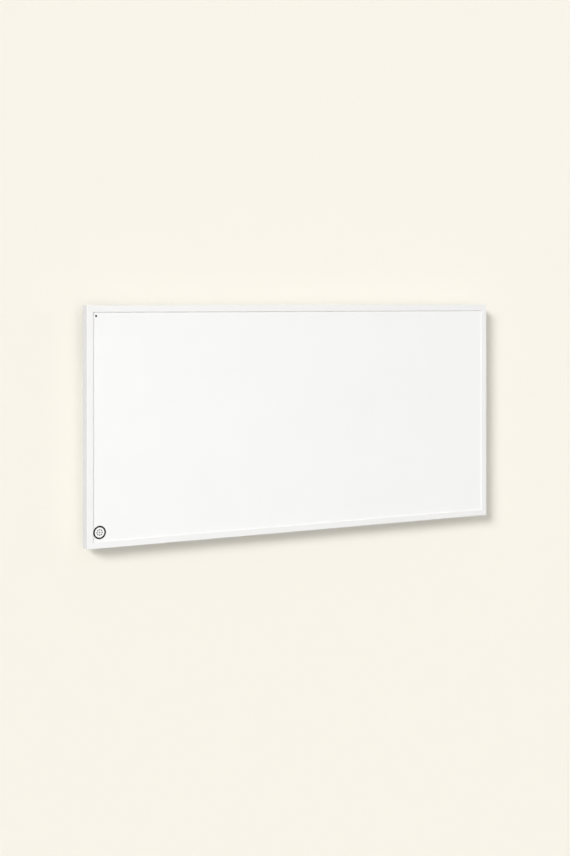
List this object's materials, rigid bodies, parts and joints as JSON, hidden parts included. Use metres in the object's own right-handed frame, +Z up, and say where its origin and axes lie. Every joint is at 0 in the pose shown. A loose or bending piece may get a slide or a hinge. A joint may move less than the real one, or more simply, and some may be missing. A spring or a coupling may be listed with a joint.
{
  "type": "infrared panel heater",
  "caption": "Flat wall-hung infrared heater: a recessed white front plate in a mitred white frame, a small dark indicator window, a rear control box and hook-on wall brackets.",
  "frame": {"origin": "on the wall plane, at the centre of the four wall screw holes of the wall brackets, straight behind the middle of the panel", "axes": "+X to the right along the panel as seen from the room, +Y into the wall, +Z up; the front plate faces -Y"},
  "size_m": [1.195, 0.055, 0.595],
  "materials": {
    "white_frame": "satin",
    "white_plate": "satin",
    "smoked_lens": "gloss",
    "clear_guide": "gloss",
    "galvanised_steel": "satin",
    "zinc_screw": "satin",
    "bracket_steel": "satin",
    "mill_aluminium": "satin",
    "box_plastic": "matte",
    "silicone_gasket": "matte",
    "dark_rubber": "matte",
    "felt": "matte",
    "element_sheet": "satin",
    "carbon_strip": "matte",
    "copper_bar": "satin",
    "foil": "gloss",
    "mineral_board": "matte",
    "circuit_board": "satin",
    "relay_case": "satin",
    "module_case": "satin",
    "shield_can": "satin",
    "led_body": "gloss",
    "terminal_nylon": "satin",
    "plated_brass": "satin",
    "switch_plastic": "satin",
    "gland_nylon": "satin",
    "brown_lead": "satin",
    "blue_lead": "satin",
    "earth_green": "satin",
    "cutout_case": "satin"
  },
  "bodies": {
    "wall_mount": {"wall_bracket_left": "bracket_steel", "wall_bracket_right": "bracket_steel"},
    "heater": {"board_screws": "zinc_screw", "box_gasket": "dark_rubber", "box_lid": "box_plastic", "box_screws": "zinc_screw", "control_board": "circuit_board", "control_box": "box_plastic", "corner_cleats": "mill_aluminium", "corner_screws": "zinc_screw", "cutout_lead": "brown_lead", "earth_lead": "earth_green", "earth_nut": "plated_brass", "earth_stud": "plated_brass", "edge_felt": "felt", "element_back_sheet": "element_sheet", "element_front_sheet": "element_sheet", "frame_bottom": "white_frame", "frame_left": "white_frame", "frame_right": "white_frame", "frame_top": "white_frame", "front_plate": "white_plate", "gland_body": "gland_nylon", "gland_cap": "gland_nylon", "gland_locknut": "gland_nylon", "gland_seal": "dark_rubber", "hanger_rail_lower": "galvanised_steel", "hanger_rail_upper": "galvanised_steel", "heating_strips": "carbon_strip", "indicator_led": "led_body", "indicator_lens": "smoked_lens", "insulation_board": "mineral_board", "lead_grommet": "dark_rubber", "lid_screws": "zinc_screw", "light_guide": "clear_guide", "link_busbar": "copper_bar", "live_busbar": "copper_bar", "live_lead": "brown_lead", "neutral_busbar": "copper_bar", "neutral_lead": "blue_lead", "plate_gasket": "silicone_gasket", "power_module": "module_case", "radio_module": "shield_can", "rail_rivets": "mill_aluminium", "rear_plate": "galvanised_steel", "rear_plate_screws": "zinc_screw", "reflector_foil": "foil", "relay": "relay_case", "supply_leads": "brown_lead", "switch_blades": "plated_brass", "switch_housing": "switch_plastic", "switch_leads": "brown_lead", "terminal_block": "terminal_nylon", "terminal_screws": "plated_brass", "thermal_cutout": "cutout_case"},
    "rocker": {"switch_rocker": "switch_plastic"}
  },
  "joints": [
    {"name": "hang_lift", "type": "slide", "parent": "wall_mount", "child": "heater", "axis": [0, 0, 1], "range_m": [0, 0.0115]},
    {"name": "power_rocker", "type": "hinge", "parent": "heater", "child": "rocker", "pos_m": [-0.5825, -0.01515, 0.19], "axis": [0, 1, 0], "range_deg": [0, 20]}
  ]
}
